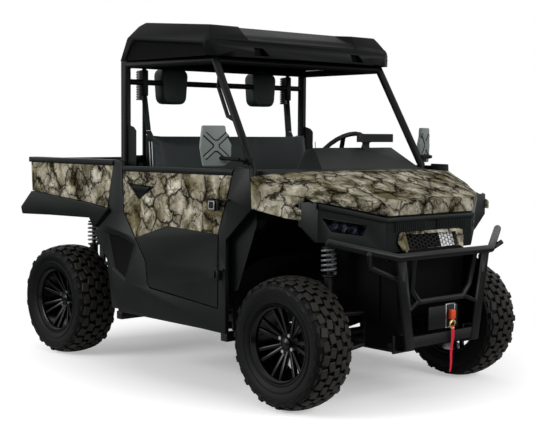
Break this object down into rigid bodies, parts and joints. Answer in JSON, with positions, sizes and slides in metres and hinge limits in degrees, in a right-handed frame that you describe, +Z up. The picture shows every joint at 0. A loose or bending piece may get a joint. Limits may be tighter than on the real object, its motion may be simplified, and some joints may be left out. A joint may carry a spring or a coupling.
{
  "type": "side-by-side utility vehicle",
  "caption": "Open-cab side-by-side utility vehicle with hinged half doors, moulded roof, tipping cargo bed, tailgate, brush guard, winch and steered off-road wheels.",
  "frame": {"origin": "centre of the bounding box on the ground under the tyres", "axes": "+X forward, +Y to the driver's left, +Z up"},
  "size_m": [2.8329, 1.7728, 1.9617],
  "materials": {
    "frame_steel": "black powder coat, satin",
    "cast_parts": "black painted casting, matte",
    "shock_metal": "silver painted spring, gloss",
    "black_plastic": "moulded black plastic, fine grain",
    "dash_plastic": "moulded black plastic, soft grain",
    "camo_plastic": "film-printed bark and stone camouflage, semi-gloss",
    "seat_vinyl": "black vinyl, matte",
    "tyre_rubber": "dusty black rubber, matte",
    "rim_alloy": "gloss black painted alloy",
    "lamp_lens": "clear lens",
    "red_lens": "red lens",
    "mesh": "black mesh, satin",
    "winch_paint": "black powder coat",
    "hook_red": "red webbing and orange-red stopper",
    "battery_case": "sealed case"
  },
  "bodies": {
    "chassis": {"frame": "frame_steel", "suspension_arms": "frame_steel", "shocks": "shock_metal", "driveline": "cast_parts", "battery_pack": "battery_case", "steering_gear": "cast_parts", "cab_floor": "black_plastic", "dash": "dash_plastic", "seat_base": "dash_plastic", "seat_cushions": "seat_vinyl", "seat_backs": "seat_vinyl", "headrests": "seat_vinyl", "cage": "frame_steel", "roof": "black_plastic", "body_sides": "black_plastic", "fenders": "camo_plastic", "nose": "black_plastic", "headlights": "lamp_lens", "grille_mesh": "mesh", "grille_frame": "camo_plastic", "bumper": "frame_steel", "winch": "winch_paint", "winch_hook": "hook_red", "mirrors": "black_plastic"},
    "steering_rack": {"steering_rack": "cast_parts"},
    "steering_wheel": {"steering_wheel": "dash_plastic"},
    "knuckle_left": {"knuckle_left": "cast_parts"},
    "knuckle_right": {"knuckle_right": "cast_parts"},
    "wheel_front_left": {"tyre_front_left": "tyre_rubber", "rim_front_left": "rim_alloy"},
    "wheel_front_right": {"tyre_front_right": "tyre_rubber", "rim_front_right": "rim_alloy"},
    "wheel_rear_left": {"tyre_rear_left": "tyre_rubber", "rim_rear_left": "rim_alloy"},
    "wheel_rear_right": {"tyre_rear_right": "tyre_rubber", "rim_rear_right": "rim_alloy"},
    "door_left": {"door_left": "black_plastic", "door_skin_left": "camo_plastic"},
    "door_right": {"door_right": "black_plastic", "door_skin_right": "camo_plastic"},
    "hood": {"hood": "camo_plastic"},
    "bed": {"bed_box": "black_plastic", "bed_skins": "camo_plastic", "tail_lights": "red_lens"},
    "tailgate": {"tailgate": "black_plastic"}
  },
  "joints": [
    {"name": "steer_left", "type": "hinge", "parent": "chassis", "child": "knuckle_left", "pos_m": [0.967, 0.575, 0.33], "axis": [0, 0, 1], "range_deg": [-28, 28]},
    {"name": "steer_right", "type": "hinge", "parent": "chassis", "child": "knuckle_right", "pos_m": [0.967, -0.575, 0.33], "axis": [0, 0, 1], "range_deg": [-28.1, 28.1]},
    {"name": "rack_slide", "type": "slide", "parent": "chassis", "child": "steering_rack", "axis": [0, 1, 0], "range_m": [-0.0392, 0.0392]},
    {"name": "steering_wheel_turn", "type": "hinge", "parent": "chassis", "child": "steering_wheel", "pos_m": [0.29, 0.38, 1.236], "axis": [-0.7071, 0, 0.7071], "range_deg": [-270, 270]},
    {"name": "wheel_front_left_spin", "type": "hinge", "parent": "knuckle_left", "child": "wheel_front_left", "pos_m": [0.967, 0.6475, 0.33], "axis": [0, 1, 0], "continuous": true},
    {"name": "wheel_front_right_spin", "type": "hinge", "parent": "knuckle_right", "child": "wheel_front_right", "pos_m": [0.967, -0.6475, 0.33], "axis": [0, 1, 0], "continuous": true},
    {"name": "wheel_rear_left_spin", "type": "hinge", "parent": "chassis", "child": "wheel_rear_left", "pos_m": [-1.017, 0.6445, 0.33], "axis": [0, 1, 0], "continuous": true},
    {"name": "wheel_rear_right_spin", "type": "hinge", "parent": "chassis", "child": "wheel_rear_right", "pos_m": [-1.017, -0.6445, 0.33], "axis": [0, 1, 0], "continuous": true},
    {"name": "door_left_hinge", "type": "hinge", "parent": "chassis", "child": "door_left", "pos_m": [0.566, 0.786, 0.8], "axis": [0, 0, -1], "range_deg": [0, 60]},
    {"name": "door_right_hinge", "type": "hinge", "parent": "chassis", "child": "door_right", "pos_m": [0.566, -0.786, 0.8], "axis": [0, 0, 1], "range_deg": [0, 60]},
    {"name": "hood_hinge", "type": "hinge", "parent": "chassis", "child": "hood", "pos_m": [0.783, 0, 1.136], "axis": [0, -1, 0], "range_deg": [0, 55]},
    {"name": "bed_tilt", "type": "hinge", "parent": "chassis", "child": "bed", "pos_m": [-1.18, 0, 0.805], "axis": [0, -1, 0], "range_deg": [0, 40]},
    {"name": "tailgate_hinge", "type": "hinge", "parent": "bed", "child": "tailgate", "pos_m": [-1.284, 0, 0.912], "axis": [0, -1, 0], "range_deg": [0, 90]}
  ],
  "couplings": [
    {"joint": "steer_right", "follows": "steer_left", "ratio": 1},
    {"joint": "rack_slide", "follows": "steer_left", "m_per_rad": -0.08},
    {"joint": "steering_wheel_turn", "follows": "steer_left", "ratio": 9.6}
  ]
}
